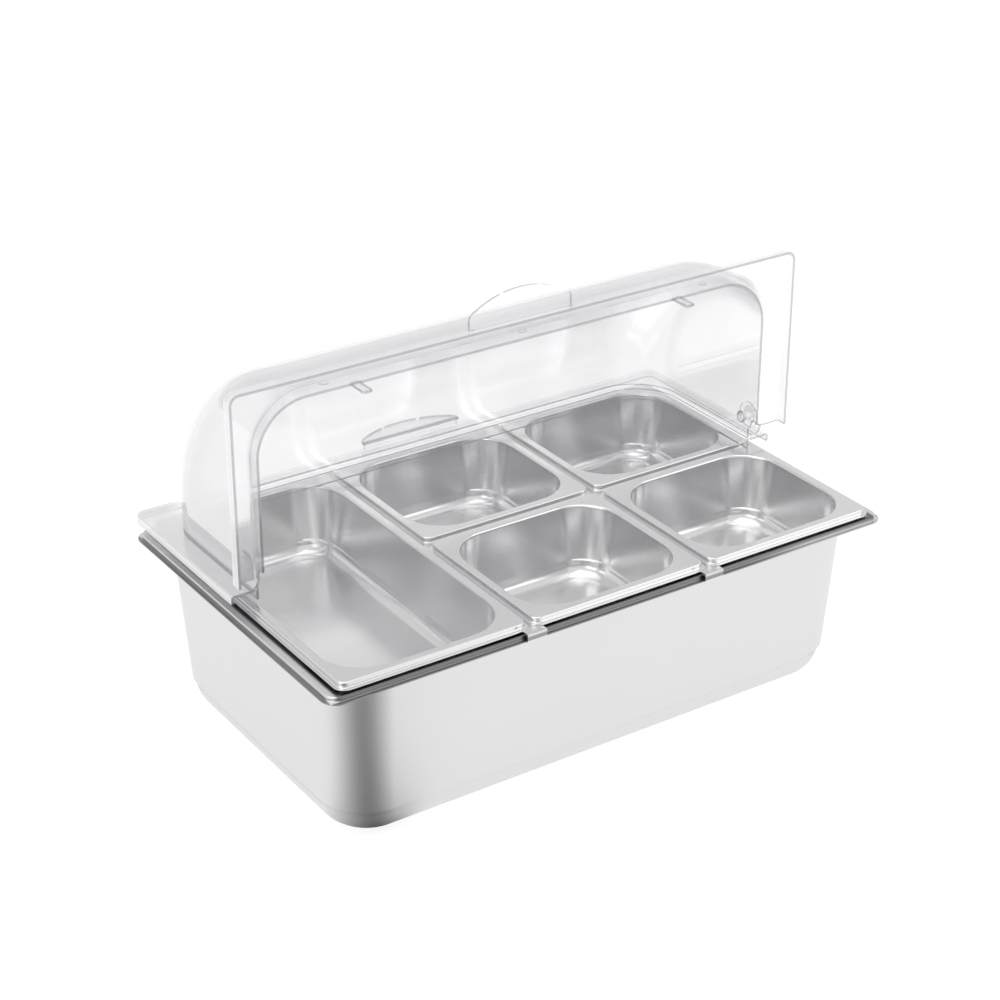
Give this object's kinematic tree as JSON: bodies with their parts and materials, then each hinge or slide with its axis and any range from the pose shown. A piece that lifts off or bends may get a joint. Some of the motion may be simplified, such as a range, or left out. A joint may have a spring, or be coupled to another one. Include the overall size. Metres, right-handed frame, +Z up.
{
  "type": "garnish tray",
  "caption": "Deep steel ice pan holding lift-out insert pans on divider bars, under a clear roll-top cover whose front half turns back over the rear half.",
  "frame": {"origin": "centre of the ice pan's flat underside, on the surface it stands on", "axes": "+X along the length, towards the right as seen from the front; +Y towards the back, where the cover stands; +Z up"},
  "size_m": [0.5522, 0.3497, 0.3784],
  "materials": {
    "pan_steel": "satin",
    "bar_steel": "satin",
    "insert_steel": "bright satin",
    "clear_cover": "clear gloss",
    "hinge_plastic": "clear gloss"
  },
  "bodies": {
    "tray": {"outer_pan": "pan_steel"},
    "bar_left": {"divider_bar_left": "bar_steel"},
    "bar_right": {"divider_bar_right": "bar_steel"},
    "insert_third": {"third_pan": "insert_steel"},
    "insert_front_left": {"sixth_pan_front_left": "insert_steel"},
    "insert_back_left": {"sixth_pan_back_left": "insert_steel"},
    "insert_front_right": {"sixth_pan_front_right": "insert_steel"},
    "insert_back_right": {"sixth_pan_back_right": "insert_steel"},
    "roll_top": {"rear_cover": "clear_cover", "hinge_pin_left": "hinge_plastic", "hinge_pin_right": "hinge_plastic", "hinge_clip_left": "hinge_plastic", "hinge_clip_right": "hinge_plastic"},
    "roll_front": {"front_cover": "clear_cover"}
  },
  "joints": [
    {"name": "lid_lift", "type": "slide", "parent": "tray", "child": "roll_top", "axis": [0, 0, 1], "range_m": [0, 0.25]},
    {"name": "cover_hinge", "type": "hinge", "parent": "roll_top", "child": "roll_front", "pos_m": [0, -0.002, 0.1945], "axis": [-1, 0, 0], "range_deg": [-90, 0]},
    {"name": "third_pan_lift", "type": "slide", "parent": "tray", "child": "insert_third", "axis": [0, 0, 1], "range_m": [0, 0.1]},
    {"name": "front_left_lift", "type": "slide", "parent": "tray", "child": "insert_front_left", "axis": [0, 0, 1], "range_m": [0, 0.1]},
    {"name": "back_left_lift", "type": "slide", "parent": "tray", "child": "insert_back_left", "axis": [0, 0, 1], "range_m": [0, 0.1]},
    {"name": "front_right_lift", "type": "slide", "parent": "tray", "child": "insert_front_right", "axis": [0, 0, 1], "range_m": [0, 0.1]},
    {"name": "back_right_lift", "type": "slide", "parent": "tray", "child": "insert_back_right", "axis": [0, 0, 1], "range_m": [0, 0.1]},
    {"name": "bar_left_lift", "type": "slide", "parent": "tray", "child": "bar_left", "axis": [0, 0, 1], "range_m": [0, 0.05]},
    {"name": "bar_right_lift", "type": "slide", "parent": "tray", "child": "bar_right", "axis": [0, 0, 1], "range_m": [0, 0.05]}
  ],
  "couplings": [
    {"joint": "third_pan_lift", "follows": "lid_lift", "ratio": 0.4},
    {"joint": "front_left_lift", "follows": "lid_lift", "ratio": 0.4},
    {"joint": "back_left_lift", "follows": "lid_lift", "ratio": 0.4},
    {"joint": "front_right_lift", "follows": "lid_lift", "ratio": 0.4},
    {"joint": "back_right_lift", "follows": "lid_lift", "ratio": 0.4},
    {"joint": "bar_left_lift", "follows": "lid_lift", "ratio": 0.2},
    {"joint": "bar_right_lift", "follows": "lid_lift", "ratio": 0.2}
  ]
}
